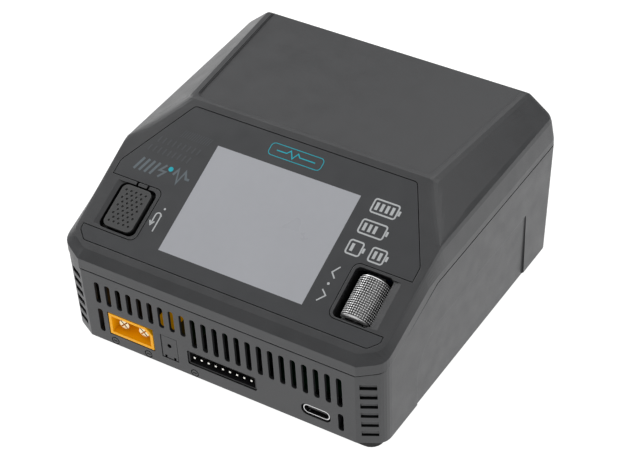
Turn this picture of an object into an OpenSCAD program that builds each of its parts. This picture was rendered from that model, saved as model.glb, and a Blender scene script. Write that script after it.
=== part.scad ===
// Balance battery charger: a desk-top box with a sloping control deck, a display, a dimpled
// key at the left, a knurled roller at the right, and its ports in the slotted front wall.
// Frame: X to the right, Y to the back, Z up, origin on the table under the middle of the case.

/* [Case] */
// Width across the side walls at the parting line
case_w = 110.8; // [108:0.1:114]
// Depth at the parting line
case_d = 106.4; // [104:0.1:110]
// Height of the top plate above the case bottom
top_z = 56.7; // [56:0.1:59]
// How far the top plate falls from its front edge to its back edge
top_fall = 0.9; // [0:0.1:1.5]
// Wall thickness of both shells
wall = 2.2; // [2:0.1:2.4]
// Height of the rubber feet
foot_h = 2.2; // [1.5:0.1:3]

/* [Parting line] */
// Height of the parting line on the front wall
part_front_z = 26.9; // [26:0.1:28]
// Height of the level parting line at the back
part_rear_z = 39.1; // [38:0.1:40]
// Rise of the sloping parting line, in mm per mm
part_rise = 0.368; // [0.34:0.002:0.39]

/* [Control deck] */
// Angle of the sloping deck
deck_angle = 24.5; // [23:0.1:26]
// Height at which the deck plane meets the front plane
deck_z = 32; // [31.5:0.1:32.5]
// Width of the display's visible area
screen_w = 49.4; // [48:0.1:50]
// Length of the display's visible area up the slope
screen_l = 36.9; // [36:0.1:37.5]
// Start of the display's visible area up the slope
screen_s = 10.6; // [10:0.1:11]

/* [Controls] */
// Sideways distance of the key and the roller from the middle
control_x = 40.6; // [40:0.1:41]
// Distance of the key and roller centres up the slope
control_s = 19.0; // [18.5:0.1:19.5]
// Key width
key_w = 10.3; // [9.5:0.1:10.6]
// Key length up the slope
key_l = 14.4; // [13.5:0.1:14.6]
// Height of the key's face over the deck
key_proud = 0.6; // [0.3:0.1:0.9]
// Roller radius
roller_r = 5; // [4.6:0.1:5.1]
// Roller length up the slope
roller_l = 13.8; // [13:0.1:14]
// Height of the roller's crown over the deck
roller_proud = 1.0; // [0.6:0.1:1.3]

/* [Front ports] */
// Pitch of the front slots
slot_pitch = 3.82; // [3.8:0.01:3.86]
// Width of each front slot
slot_w = 1.9; // [1.6:0.1:2.1]
// Left edge of the battery output housing
output_x = -39.1; // [-39.5:0.1:-38.8]
// First balance pin
balance_x = -8.65; // [-9:0.05:-8.4]
// Middle of the oblong data port
usb_x = 33.6; // [33:0.1:34]

/* [Hidden] */
$fn = 48;
corner_fn = 24;

half_w = case_w / 2;
cut = 0.5;
deck_rise = tan(deck_angle);

// Plan of the case: front corner chamfer, then a soft corner into the side wall
chamfer_x = 7.7;
chamfer_rise = 1.9;
corner_end_y = 7.2;
flat_end_y = 2.9;
rear_corner_r = 2.4;

// Lower case draft
side_draft = 0.9;
rear_draft = 3.6;

// Upper case section: lip, steep facet, wide side face and top plate
lip_front_h = 3.8;
lip_rear_h = 2.5;
facet_in = 1.1;
fold_z = 49;
crest_y = (top_z - deck_z) / deck_rise;
knee_y = (fold_z - deck_z) / deck_rise;
top_front_hw = 42.2;
top_rear_hw = 46.5;
rear_edge_r = 3;

// Rim round the top plate
rim_w = 1.9;
rim_h = 0.6;

// Deck furniture, measured from the deck plane inwards
deck_wall = 2.7;
fascia_t = 1.2;
fascia_gap = 0.25;
board_t = 1.6;
control_top = -11.4;
well_w = 12.2;
well_l = 16.5;
key_gap_w = 13;
key_gap_l = 15.9;

// Boards in the lower case
main_top = 4.5;
main_hw = 42.4;
main_y0 = 2.7;
main_y1 = 62;
mains_y0 = 64;
mains_y1 = 89;
mains_hw = 51;

// Corner bosses and screws
boss_r = 4;
boss_x = 47.3;
boss_front_y = 7.9;
boss_rear_y = 96;
screw_r = 1.45;
screw_head_r = 2.8;
screw_hole_r = 1.7;
head_seat = 6;

// Front ports
port_z = 4.85;
xt_w = 16;
xt_h = 8.1;
xt_pitch = 7.2;
xt_pin_r = 1.75;
balance_pitch = 2.5;
balance_n = 9;
balance_z = 7.9;
usb_z = 6.2;
usb_w = 8.94;
usb_h = 3.26;
cover_x = -17.2;
cover_w = 6;
cover_h = 9;

// Rear ports and fan
inlet_x = 32.4;
inlet_z = 15;
inlet_pitch = 8.6;
input_x = -34;
input_z = 10;
rear_face_y = 104.4;
fan_size = 35;
fan_t = 10;
fan_z = 20.4;
fan_y = 100.4;
fan_hole = 29;
fan_head_r = 2.7;

// Seat of the upper (1) or lower (-1) fan screws in the sloping rear wall
function fan_seat_y(side) =
    case_d - rear_draft * (1 - (fan_z + side * fan_hole / 2) / part_rear_z) - 1.2;

// ---------- frames ----------

module in_case() {
    translate([0, -case_d / 2, foot_h]) children();
}

// X across, Y up the slope, Z out of the deck
module on_deck() {
    in_case() translate([0, 0, deck_z]) rotate([deck_angle, 0, 0]) children();
}

// X across, Y upright, extrusion towards the back
module on_front(y) {
    in_case() translate([0, y, 0]) rotate([90, 0, 0]) mirror([0, 0, 1]) children();
}

module mirror_x() {
    children();
    mirror([1, 0, 0]) children();
}

module mirror_x_at(x) {
    for (i = [-1, 1]) translate([x, 0, 0]) scale([i, 1, 1]) children();
}

module block(w, d, h) {
    translate([-w / 2, -d / 2, 0]) cube([w, d, h]);
}

module soft_rect(w, d, r) {
    offset(r, $fn = corner_fn) square([w - 2 * r, d - 2 * r], center = true);
}

module soft_block(w, d, h, r) {
    linear_extrude(h) soft_rect(w, d, r);
}

// ---------- outline functions ----------

function mix(a, b, t) = a + (b - a) * t;
function bend(a, b, c, t) = mix(mix(a, b, t), mix(b, c, t), t);
function steps(n) = [for (i = [0:n]) i / n];

chamfer_hw = half_w - chamfer_x;
flat_end = [chamfer_hw + flat_end_y * chamfer_rise, flat_end_y];
corner_tip = [half_w, chamfer_x / chamfer_rise];
corner_end = [half_w, corner_end_y];

// Right half of the plan from the front to the back, as [x, y]
function half_plan(hw, d) = concat(
    [[hw - chamfer_x, 0]],
    [for (t = steps(5)) bend(flat_end, corner_tip, corner_end, t) - [half_w - hw, 0]],
    [for (a = [0:18:90]) [hw - rear_corner_r * (1 - cos(a)), d - rear_corner_r * (1 - sin(a))]]
);

function whole_plan(hw, d) = let (h = half_plan(hw, d), n = len(h))
    concat([for (p = h) [-p[0], p[1]]], [for (i = [n - 1:-1:0]) h[i]]);

// Solid through rings with equal counts; each ring is a list of 3-D points
module loft(rings) {
    n = len(rings[0]);
    m = len(rings);
    polyhedron(
        points = [for (r = rings) each r],
        faces = concat(
            [[for (i = [n - 1:-1:0]) i]],
            [for (k = [0:m - 2], i = [0:n - 1]) let (j = (i + 1) % n)
                each [[k * n + i, k * n + j, (k + 1) * n + i],
                      [k * n + j, (k + 1) * n + j, (k + 1) * n + i]]],
            [[for (i = [0:n - 1]) (m - 1) * n + i]]
        ),
        convexity = 6
    );
}

// ---------- lower case ----------

// Ring of the lower case at height z, set in by the wall where wanted
function lower_ring(z, inset) =
    let (
        hw = half_w - side_draft * (1 - z / part_rear_z) - inset,
        d = case_d - rear_draft * (1 - z / part_rear_z) - 2 * inset
    )
    [for (p = whole_plan(hw, d)) [p[0], p[1] + inset, z]];

module lower_solid(inset, z0) {
    edge = inset > 0 ? 0 : 0.7;
    loft(concat(
        edge > 0 ? [lower_ring(0, edge)] : [],
        [for (z = [z0 + edge, part_rear_z, part_rear_z + 3]) lower_ring(z, inset)]
    ));
}

// Everything over the parting surface, raised by lift
module above_parting(lift) {
    rise_y = (part_rear_z - part_front_z) / part_rise;
    translate([-case_w, 0, 0]) rotate([90, 0, 90]) linear_extrude(2 * case_w)
        polygon([
            [-10, part_front_z - 10 * part_rise + lift], [rise_y, part_rear_z + lift],
            [case_d + 10, part_rear_z + lift], [case_d + 10, 90], [-10, 90]
        ]);
}

groove_h = 0.4;
groove_depth = 1.1;

// Shadow gap that runs round the case between the two shells
module parting_groove() {
    difference() {
        above_parting(-0.1);
        above_parting(groove_h);
        lower_solid(groove_depth, wall);
    }
}

module slot(x, z0, z1) {
    translate([x, (z0 + z1) / 2]) soft_rect(slot_w, z1 - z0, slot_w / 2 - 0.1);
}

front_slot_top = 23.8;
short_slot_z = 15.7;
long_slot_z = 12.7;

module front_slots() {
    for (i = [0:22]) slot((i - 11) * slot_pitch, i < 9 ? short_slot_z : long_slot_z, front_slot_top);
    slot(-11 * slot_pitch, 4.3, 13.3);
    slot(11 * slot_pitch, 3.2, 9.8);
}

louvre_pitch = 3.67;
louvre_h = 2.1;
louvre_z = 22.95;
louvre_l = 5;
chamfer_turn = atan(1 / chamfer_rise);

louvre_depth = 0.8;
louvre_slit = 0.6;

// Shallow recess with a slit through its lower edge, six to a corner
module corner_louvres() {
    mirror_x() translate([chamfer_hw, 0, 0]) rotate([0, 0, chamfer_turn])
        for (i = [0:5]) translate([0.9, -cut, louvre_z - i * louvre_pitch - louvre_h / 2]) {
            cube([louvre_l, cut + louvre_depth, louvre_h]);
            cube([louvre_l, wall + 2 * cut, louvre_slit]);
        }
}

web_t = 1;

// Relief that thins the front wall behind its slots
module slot_relief() {
    translate([-11.7 * slot_pitch, web_t, short_slot_z - 4]) cube([23.4 * slot_pitch, wall, 13.6]);
}

// Shallow drafted panel in each side wall
panel_front_y = 21.5;
panel_rear_y = 87.6;
panel_top_z = 23.8;
panel_depth = 0.65;

module side_panels() {
    mirror_x() translate([half_w - side_draft - panel_depth, 0, 0]) rotate([0, 2.2, 0])
        rotate([90, 0, 90]) linear_extrude(4) difference() {
            translate([panel_front_y, -2]) square([panel_rear_y - panel_front_y, panel_top_z + 2]);
            translate([panel_front_y, panel_top_z]) difference() {
                translate([-cut, -14]) square([14 + cut, 14 + cut]);
                translate([14, -14]) circle(14, $fn = 64);
            }
        }
}

module corner_bosses(r) {
    mirror_x() for (y = [boss_front_y, boss_rear_y])
        translate([boss_x, y, 0]) cylinder(r = r, h = part_rear_z + 3);
}

module boss_bores() {
    mirror_x() for (y = [boss_front_y, boss_rear_y]) translate([boss_x, y, 0]) {
        translate([0, 0, -cut]) cylinder(r = screw_hole_r, h = part_rear_z + 3);
        translate([0, 0, -cut]) cylinder(r = screw_head_r + 0.2, h = seat_z(y) + cut);
    }
}

function parting_z(y) = min(part_rear_z, part_front_z + part_rise * y);
function seat_z(y) = parting_z(y) - head_seat;

module rear_slots() {
    for (i = [-4:4]) {
        reach = sqrt(pow(fan_size / 2 - 1, 2) - pow(i * slot_pitch, 2) * 0.75);
        slot(i * slot_pitch, fan_z - reach, fan_z + reach);
    }
}

module port_holes() {
    translate([output_x - 0.35, port_z - 0.35]) square([xt_w + 0.7, xt_h + 0.7]);
    translate([balance_x + 4 * balance_pitch, balance_z]) soft_rect(24.2, 5.4, 0.6);
    translate([usb_x, usb_z]) soft_rect(usb_w + 1, usb_h + 1, 1.9);
    translate([cover_x, port_z + cover_h / 2 - 1]) square([cover_w, cover_h], center = true);
}

mark_r = 1.4;
mark_w = 0.35;
mark_depth = 0.35;

// Shallow rings with a bar across, cut under the output and balance ports
module polarity_marks() {
    for (p = [[-37.7, 2.2], [-25.5, 2.3], [-8.7, 2.2]]) translate([p[0], mark_depth, p[1]])
        rotate([90, 0, 0]) {
            difference() {
                cylinder(r = mark_r, h = 1);
                translate([0, 0, -1]) cylinder(r = mark_r - mark_w, h = 3);
            }
            translate([-mark_r / 2, -mark_w / 2, 0]) cube([mark_r, mark_w, 1]);
        }
}

module lower_case() {
    color([0.2, 0.21, 0.22]) in_case() {
        difference() {
            union() {
                difference() {
                    lower_solid(0, 0);
                    lower_solid(wall, wall);
                }
                intersection() {
                    lower_solid(wall / 2, 0.1);
                    corner_bosses(boss_r);
                }
                board_posts(wall - 0.2, main_top - board_t);
                for (x = [-1, 1]) translate([x * (fan_size / 2 + 1.3), fan_y - 5, wall - 0.2])
                    block(1.8, 8, 12);
            }
            above_parting(0);
            side_panels();
            polarity_marks();
            corner_louvres();
            slot_relief();
            boss_bores();
            translate([0, -cut, 0]) rotate([90, 0, 0]) mirror([0, 0, 1])
                linear_extrude(wall + 2 * cut) {
                    front_slots();
                    port_holes();
                }
            translate([0, case_d - 8, 0]) rotate([90, 0, 0]) mirror([0, 0, 1]) linear_extrude(12) {
                rear_slots();
                translate([inlet_x, inlet_z]) soft_rect(inlet_w + 0.6, inlet_h + 0.6, inlet_h / 2);
                translate([input_x, input_z]) square([xt_w + 0.7, xt_h + 0.7], center = true);
            }
            for (x = [-1, 1], z = [-1, 1])
                translate([x * fan_hole / 2, fan_seat_y(z), fan_z + z * fan_hole / 2])
                    rotate([90, 0, 0]) {
                        cylinder(r = screw_hole_r, h = 8);
                        translate([0, 0, -8]) cylinder(r = fan_head_r + 0.2, h = 8);
                    }
        }
    }
}

// Posts under both boards
post_spots = [[-36, 20], [36, 20], [-36, 54], [36, 54], [-46, 70], [46, 70]];

module board_posts(z0, z1) {
    difference() {
        for (p = post_spots) translate([p[0], p[1], z0]) cylinder(r = 3, h = z1 - z0);
        for (p = post_spots) translate([p[0], p[1], 1]) cylinder(r = 1.2, h = 4);
    }
}

// ---------- upper case ----------

function deck_at(y) = deck_z + deck_rise * y;

// Plan half width at depth y
plan_stations = half_plan(half_w, case_d);
function plan_hw(y) = lookup(y, [for (p = plan_stations) [p[1], p[0]]]);

nose_y = 2.7;
nose_foot = 0.25;

// Edge of the deck, as [depth, half width]: nose, chamfer, soft corner, side
deck_corner = [[4.5, 50.7], [5.6, 53.3], [8.5, 53.35]];
deck_edge = concat(
    [[0, chamfer_hw - 0.1], [nose_y, chamfer_hw - 0.8]],
    [for (t = steps(5)) bend(deck_corner[0], deck_corner[1], deck_corner[2], t)],
    [[knee_y, half_w - facet_in]]
);
function edge_x(y) = lookup(y, deck_edge);

// Height of the middle of the shell at depth y: nose, deck, top plate, rear edge
function crown_z(y) =
    y < nose_y ? mix(part_front_z + lip_front_h + nose_foot, deck_at(nose_y), y / nose_y)
    : y < crest_y ? deck_at(y)
    : top_z - top_fall * (y - crest_y) / (case_d - crest_y)
        - (y > case_d - rear_edge_r
            ? rear_edge_r - sqrt(max(0, pow(rear_edge_r, 2) - pow(y - case_d + rear_edge_r, 2)))
            : 0);

function lip_z(y) = min(part_front_z + lip_front_h + part_rise * y, part_rear_z + lip_rear_h);

function fold(y) = y < knee_y ? [edge_x(y), crown_z(y)] : [plan_hw(y) - facet_in, fold_z];

// Upper edge of the wide side face
function brow(y) =
    let (f = fold(y))
    y <= knee_y ? [f[0] - 0.5 - min(8, 0.35 * (knee_y - y)), crown_z(y)]
    : y < crest_y ? [mix(f[0] - 0.5, top_front_hw, (y - knee_y) / (crest_y - knee_y)), crown_z(y)]
    : [mix(top_front_hw, top_rear_hw, (y - crest_y) / (case_d - crest_y)), crown_z(y)];

// Point at distance d along the path a, b, c, e
function dist(a, b) = norm(b - a);
function along(q, d, i = 0) =
    i >= len(q) - 2 || d <= dist(q[i], q[i + 1])
        ? mix(q[i], q[i + 1], d / dist(q[i], q[i + 1]))
        : along(q, d - dist(q[i], q[i + 1]), i + 1);

// Softening reach: least along the deck's edge, most along the shoulder above the knee
fold_soft = [[knee_y - 2, 0.25], [knee_y + 2, 1.2]];
shoulder_soft = [[knee_y - 2, 0.25], [knee_y + 3, 2.6], [crest_y - 2, 2.6], [crest_y + 2, 0.4]];
function reach(y, d, facet) =
    let (near = lookup(y, fold_soft), far = lookup(y, shoulder_soft))
    min(d * 0.6, d < facet + 2 ? min(near, facet * 0.6) : mix(near, far, min(1, (d - facet - 2) / 4)));

function side_path(y, inset) =
    let (f = fold(y), b = brow(y))
    [[plan_hw(y) - inset, lip_z(y) - inset * 0.3], [f[0] - inset, f[1] - inset * 0.8],
     [b[0] - inset * 0.5, b[1] - inset * 1.15], [0, crown_z(y) - inset * 1.15]];

function soft_side(y) =
    let (
        q = side_path(y, 0),
        a = dist(q[0], q[1]),
        b = dist(q[1], q[2]),
        c = dist(q[2], q[3]),
        ds = concat(
            [for (t = steps(5)) a * t],
            [for (t = [0.12, 0.25, 0.4, 0.6, 0.75, 0.88, 1]) a + b * t],
            [a + b + 1, a + b + 2.2, a + b + 4, a + b + 12]
        )
    )
    [for (d = ds) let (w = reach(y, d, a))
        (along(q, d - w) + along(q, d - w / 2) + along(q, d) + along(q, d + w / 2)
            + along(q, d + w)) / 5];

skirt_z = 20;

// Ring of the outer skin at depth y
function skin_ring(y) =
    let (s = soft_side(y), half = concat([[plan_hw(y), skirt_z]], s), n = len(half))
    concat(
        [for (p = half) [p[0], y, p[1]]],
        [for (i = [n - 1:-1:0]) [-half[i][0], y, half[i][1]]]
    );

// Ring of the hollow, kept the wall's thickness inside the skin
function hollow_ring(y) =
    let (q = side_path(y, wall), half = [[q[0][0], skirt_z - 1], q[0], q[1], q[2]], n = 4)
    concat(
        [for (p = half) [p[0], y, p[1]]],
        [for (i = [n - 1:-1:0]) [-half[i][0], y, half[i][1]]]
    );

skin_ys = concat(
    [0, 0.9, 1.8, nose_y, 3.6], [for (p = plan_stations) if (p[1] > 3.8 && p[1] < case_d - 4) p[1]],
    [8.5, 12, 16, 22, 28, 33, 36, 37.5, 39.5, 42, 45, 48, 51, 53, 54, 54.8, 56, 59, 66, 74, 82, 90, 98],
    [for (a = [0:18:90]) case_d - rear_edge_r * (1 - sin(a))]
);
hollow_ys = [wall, 5, 8, 16, 24, 32, 37, 41, 45, 50, 54, 56, 66, 76, 86, 96, case_d - wall];

// Fascia outline on the deck, as rounded rectangles joined and notched
fascia_hw = 51.4;
fascia_s0 = 5.5;
fascia_s1 = 57;
fascia_cut = 2.8;
notch_s0 = 10.05;
notch_s1 = 28.3;
notch_hw = 33;

module fascia_outline(grow) {
    offset(grow) difference() {
        offset(1.6) offset(-3.2) offset(1.6) difference() {
            polygon([
                [-fascia_hw + fascia_cut, fascia_s0], [fascia_hw - fascia_cut, fascia_s0],
                [fascia_hw, fascia_s0 + fascia_cut], [fascia_hw, 33], [38.3, fascia_s1],
                [-38.3, fascia_s1], [-fascia_hw, 33], [-fascia_hw, fascia_s0 + fascia_cut]
            ]);
        }
        mirror_x() translate([notch_hw, notch_s0]) {
            offset(2.4) offset(-2.4) square([2 * (fascia_hw - notch_hw), notch_s1 - notch_s0]);
        }
    }
}

deck_post_s = [12, 46];

module deck_posts() {
    mirror_x() for (s = deck_post_s) translate([29.5, s, control_top])
        cylinder(r = 2.6, h = -control_top - 2);
}

module upper_bosses() {
    mirror_x() for (y = [boss_front_y, boss_rear_y])
        translate([boss_x, y, 20]) cylinder(r = boss_r, h = 40);
}

module top_pocket() {
    for (step = [[0, rim_h], [0.3, rim_h / 2]]) top_recess(step[0], step[1]);
}

// Recess in the top plate, widened by grow and cut to the given depth
module top_recess(grow, depth) {
    fall = top_fall / (case_d - crest_y);
    front = crest_y + 1.6 - grow;
    front_hw = top_front_hw - rim_w + grow;
    rear_hw = top_rear_hw - rim_w + 0.4 + grow;
    translate([0, 0, top_z]) multmatrix([
        [1, 0, 0, 0], [0, 1, 0, 0], [0, -fall, 1, fall * crest_y - depth], [0, 0, 0, 1]
    ]) linear_extrude(3) offset(2.5) offset(-2.5) polygon([
        [-front_hw, front], [front_hw, front], [rear_hw, case_d + 6], [-rear_hw, case_d + 6]
    ]);
}

module upper_case() {
    color([0.2, 0.21, 0.22]) difference() {
        union() {
            in_case() difference() {
                loft([for (y = skin_ys) skin_ring(y)]);
                loft([for (y = hollow_ys) hollow_ring(y)]);
            }
            intersection() {
                in_case() loft([for (y = skin_ys) skin_ring(y)]);
                union() {
                    in_case() upper_bosses();
                    on_deck() {
                        deck_posts();
                        key_hooks();
                        roller_skirts();
                    }
                }
                in_case() translate([0, case_d / 2, 0]) block(case_w - 2, case_d - 2, top_z - 2);
            }
        }
        in_case() difference() {
            translate([0, case_d / 2, -10]) block(2 * case_w, 2 * case_d, 80);
            above_parting(0);
        }
        in_case() parting_groove();
        in_case() top_pocket();
        on_deck() {
            translate([0, 0, -fascia_t]) linear_extrude(4) fascia_outline(fascia_gap);
            translate([0, screen_s + screen_l / 2, -6]) soft_block(screen_w + 3, screen_l + 3, 8, 1);
            translate([-control_x - 0.2, control_s, -8]) soft_block(key_gap_w, key_gap_l, 10, 2);
            translate([control_x - 0.3, control_s, -8]) soft_block(well_w, well_l, 10, 1.6);
            well_bevels();
            key_notches();
            key_hook_bores();
            translate([-control_x, control_s - 0.2, -8]) soft_block(key_w + 4.6, key_l + 3, 5.5, 2);
            mirror_x() for (s = deck_post_s) translate([29.5, s, control_top - 1])
                cylinder(r = 0.95, h = 7);
        }
        in_case() mirror_x() {
            translate([boss_x, boss_front_y, 0]) cylinder(r = screw_r + 0.05, h = 33.8);
            translate([boss_x, boss_rear_y, 0]) cylinder(r = screw_r + 0.05, h = part_rear_z + 9);
        }
    }
}

// Shallow ramps beside the key and the roller
ramp_w = 2.4;
ramp_drop = 0.55;

module well_bevels() {
    mirror_x() translate([control_x + well_w / 2 - 0.3, control_s - 7.6, 0]) rotate([90, 0, 0])
        mirror([0, 0, 1]) linear_extrude(15.4)
            polygon([[-1, -ramp_drop], [0, -ramp_drop], [ramp_w, 0], [ramp_w, 1], [-1, 1]]);
}

// Walls that shut the roller's well off from the inside
module roller_skirts() {
    for (i = [-1, 1]) translate([control_x - 0.3 + i * (well_w / 2 + 0.45), control_s, -8.4])
        block(0.9, well_l + 1.6, 7);
}

module key_notches() {
    for (x = [-42.1, -38.3]) translate([x, control_s + key_gap_l / 2 + 0.5, -1.4])
        block(0.8, 1.6, 3);
}

// ---------- deck parts ----------

module display_fascia() {
    color([0.17, 0.18, 0.2]) on_deck() difference() {
        translate([0, 0, -fascia_t]) linear_extrude(fascia_t) fascia_outline(0);
        translate([0, screen_s, -2]) translate([-screen_w / 2, 0, 0])
            cube([screen_w, screen_l, 4]);
    }
}

module screen_window() {
    color([0.66, 0.67, 0.69]) on_deck()
        translate([-screen_w / 2, screen_s, -fascia_t]) cube([screen_w, screen_l, fascia_t]);
}

module display_panel() {
    color([0.62, 0.63, 0.65]) on_deck() translate([0, screen_s + screen_l / 2, -fascia_t - 1.6])
        block(screen_w + 2, screen_l + 2, 1.5);
}

module display_frame() {
    color([0.75, 0.76, 0.78]) on_deck() translate([0, screen_s + screen_l / 2, control_top]) {
        translate([0, 0, 4.6]) block(screen_w + 1.6, screen_l + 1.6, -control_top - fascia_t - 6.3);
        mirror_x() for (s = [-1, 1]) translate([screen_w / 2 - 3, s * 12, 0]) block(4, 5, 4.7);
    }
}

board_s0 = 8.5;
board_s1 = 49;

module control_board() {
    color([0.06, 0.3, 0.16]) on_deck() translate([0, 0, control_top - board_t]) difference() {
        translate([0, (board_s0 + board_s1) / 2, 0]) soft_block(98, board_s1 - board_s0, board_t, 2);
        mirror_x() for (s = deck_post_s) translate([29.5, s, -cut]) cylinder(r = 1.2, h = board_t + 1);
        mirror_x() translate([49, 47, -1]) rotate([0, 0, 45]) block(14, 14, board_t + 2);
    }
}

key_pivot_s = control_s + key_l / 2 + 2.6;
key_pivot_n = -3.6;
key_pivot_r = 0.6;
key_flange_t = 1;

// Hooks under the deck that carry the key's pivot bar
module key_hooks() {
    mirror_x_at(-control_x) translate([4.05, key_pivot_s, key_pivot_n - 1.3]) block(1.3, 2.6, 3.4);
}

module key_hook_bores() {
    translate([-control_x, key_pivot_s, key_pivot_n]) rotate([0, 90, 0])
        cylinder(r = key_pivot_r + 0.06, h = 12, center = true);
}

module exit_button() {
    color([0.24, 0.25, 0.26]) on_deck() difference() {
        translate([-control_x, control_s, 0]) {
            translate([0, 0, -3.4]) soft_block(key_w, key_l, 3.4 + key_proud, 1.9);
            translate([0, -0.2, -4.1]) soft_block(key_w + 3.6, key_l + 2.2, key_flange_t, 2);
            translate([0, 0, control_top + 4.45]) cylinder(r = 1.7, h = 4, $fn = 32);
            translate([-3, key_l / 2 + 0.6, -4.1]) cube([6, 2.4, 1]);
            translate([0, key_pivot_s - control_s, key_pivot_n]) rotate([0, 90, 0])
                cylinder(r = key_pivot_r, h = 9.6, center = true);
        }
        key_dimples();
    }
}

dimple_r = 0.42;

module key_dimples() {
    for (i = [0:8], j = [0:4 - i % 2])
        translate([-control_x + (j - 2 + (i % 2) / 2) * 1.75, control_s + (i - 4) * 1.35, key_proud])
            cylinder(r = dimple_r, h = 0.5, center = true, $fn = 8);
}

tact_r = 1.5;
tact_h = 3.5;
tact_top = 4.25;
tact_rest = 2.9;

module tact_body() {
    difference() {
        block(6, 6, tact_h);
        translate([0, 0, tact_rest - 0.6]) cylinder(r = tact_r + 0.06, h = tact_h);
    }
}

module tact_plunger() {
    translate([0, 0, tact_rest]) cylinder(r = tact_r, h = tact_top - tact_rest);
}

module exit_switch() {
    color([0.12, 0.12, 0.13]) on_deck() translate([-control_x, control_s, control_top]) tact_body();
}

module exit_plunger() {
    color([0.85, 0.85, 0.83]) on_deck() translate([-control_x, control_s, control_top])
        tact_plunger();
}

roller_n = roller_proud - roller_r;
shaft_r = 0.9;

module on_roller() {
    on_deck() translate([control_x - 0.3, control_s, roller_n]) rotate([-90, 0, 0]) children();
}

module roller() {
    color([0.78, 0.78, 0.8]) on_roller() difference() {
        translate([0, 0, -roller_l / 2]) union() {
            cylinder(r = roller_r - 0.35, h = roller_l, $fn = 64);
            for (i = [0:rib_n - 1]) translate([0, 0, 0.5 + i * rib_pitch])
                cylinder(r = roller_r, h = rib_pitch * 0.6, $fn = 64);
        }
        cylinder(r = shaft_r, h = roller_l + 2, center = true);
    }
}

rib_n = 16;
rib_pitch = (roller_l - 0.6) / rib_n;
arm_s = roller_l / 2 + 0.7;
arm_t = 0.7;
tongue_n = -3.05;
tongue_t = 1.2;

module roller_shaft() {
    color([0.7, 0.7, 0.72]) on_roller() translate([0, 0, -arm_s - arm_t + 0.2])
        cylinder(r = shaft_r, h = 2 * arm_s + 2 * arm_t + 3);
}

module roller_carrier() {
    plate_n = -roller_r - 1.35;
    color([0.13, 0.13, 0.14]) on_deck() translate([control_x - 0.3, control_s, roller_n]) difference() {
        union() {
            translate([0, 0, plate_n]) block(6.4, 2 * arm_s + arm_t, 0.9);
            for (i = [-1, 1]) translate([0, i * arm_s, plate_n]) block(6, arm_t, -plate_n + 2.2);
            translate([0, arm_s + 4.4, tongue_n]) block(4, 9.4, tongue_t);
        }
        rotate([90, 0, 0]) cylinder(r = shaft_r + 0.05, h = 60, center = true);
    }
}

module roller_frame() {
    color([0.2, 0.2, 0.21]) on_deck() translate([control_x - 0.3, control_s, control_top]) {
        mirror_x() for (i = [-1, 1]) translate([4.4, i * 8.1, 0]) block(1.8, 1.6, 5.5);
    }
}

module roller_encoder() {
    color([0.1, 0.25, 0.45]) on_deck() translate([control_x - 0.3, control_s + arm_s + 2.1, roller_n])
        difference() {
            translate([0, 0, tongue_n + tongue_t]) block(6.4, 2.6, 3.2);
            rotate([90, 0, 0]) cylinder(r = shaft_r + 0.05, h = 10, center = true);
        }
}

roller_switch_s = control_s + arm_s + 7.3;

module roller_switch() {
    color([0.12, 0.12, 0.13]) on_deck() translate([control_x - 0.3, roller_switch_s, control_top])
        tact_body();
}

module roller_plunger() {
    color([0.85, 0.85, 0.83]) on_deck()
        translate([control_x - 0.3, roller_switch_s, control_top]) tact_plunger();
}

// ---------- front ports ----------

// Two-pole connector shell: flat bottom corners, one cut upper corner
module xt_outline(w, h, chamfer) {
    polygon([[0, 0], [w, 0], [w, h - chamfer], [w - chamfer, h], [0, h]]);
}

xt_depth = 17;
xt_wall = 1;
xt_root_r = 1.4;
contact_tip = 1.5;
cavity_floor = 12;

module xt_housing() {
    difference() {
        linear_extrude(xt_depth) xt_outline(xt_w, xt_h, 2.3);
        translate([xt_wall, xt_wall, -cut]) linear_extrude(cavity_floor + cut)
            xt_outline(xt_w - 2 * xt_wall, xt_h - 2 * xt_wall, 1.9);
        for (i = [-1, 1]) translate([xt_w / 2 + i * xt_pitch / 2, xt_h / 2, 10])
            cylinder(r = xt_root_r, h = 12);
    }
}

module xt_contacts() {
    for (i = [-1, 1]) translate([xt_w / 2 + i * xt_pitch / 2, xt_h / 2, 0]) difference() {
        union() {
            translate([0, 0, contact_tip]) cylinder(r = xt_pin_r, h = cavity_floor - contact_tip);
            translate([0, 0, cavity_floor - 0.1]) cylinder(r = xt_root_r, h = xt_depth + 2 - cavity_floor);
        }
        for (a = [45, 135]) rotate([0, 0, a]) translate([0, 0, -cut]) block(4, 0.4, 6);
    }
}

module output_socket() {
    color([0.95, 0.6, 0.12]) on_front(0) translate([output_x, port_z, 0]) xt_housing();
}

module output_contacts() {
    color([0.92, 0.85, 0.6]) on_front(0) translate([output_x, port_z, 0]) xt_contacts();
}

balance_w = 23.8;
balance_h = 5;
balance_mid = balance_x + (balance_n - 1) / 2 * balance_pitch;

module balance_header() {
    color([0.07, 0.07, 0.08]) on_front(0.3) translate([balance_mid, balance_z, 0]) difference() {
        linear_extrude(9) offset(delta = 0.9, chamfer = true) offset(-0.9)
            square([balance_w, balance_h], center = true);
        translate([0, 0, -cut]) linear_extrude(7.5)
            square([balance_w - 0.9, balance_h - 0.9], center = true);
        for (i = [0:balance_n - 1]) translate([(i - 4) * balance_pitch, 0, 4])
            block(0.64, 0.64, 8);
    }
}

module balance_pins() {
    color([0.9, 0.88, 0.8]) on_front(0.3) translate([balance_mid, balance_z, 0])
        for (i = [0:balance_n - 1]) translate([(i - 4) * balance_pitch, 0, 0.3]) {
            block(0.64, 0.64, 10.7);
            translate([0, -(balance_z - main_top) / 2 + 0.15, 10.1])
                block(0.64, balance_z - main_top + 0.3, 0.64);
        }
}

module usb_outline(grow) {
    soft_rect(usb_w + 2 * grow, usb_h + 2 * grow, usb_h / 2 + grow - 0.01);
}

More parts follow.
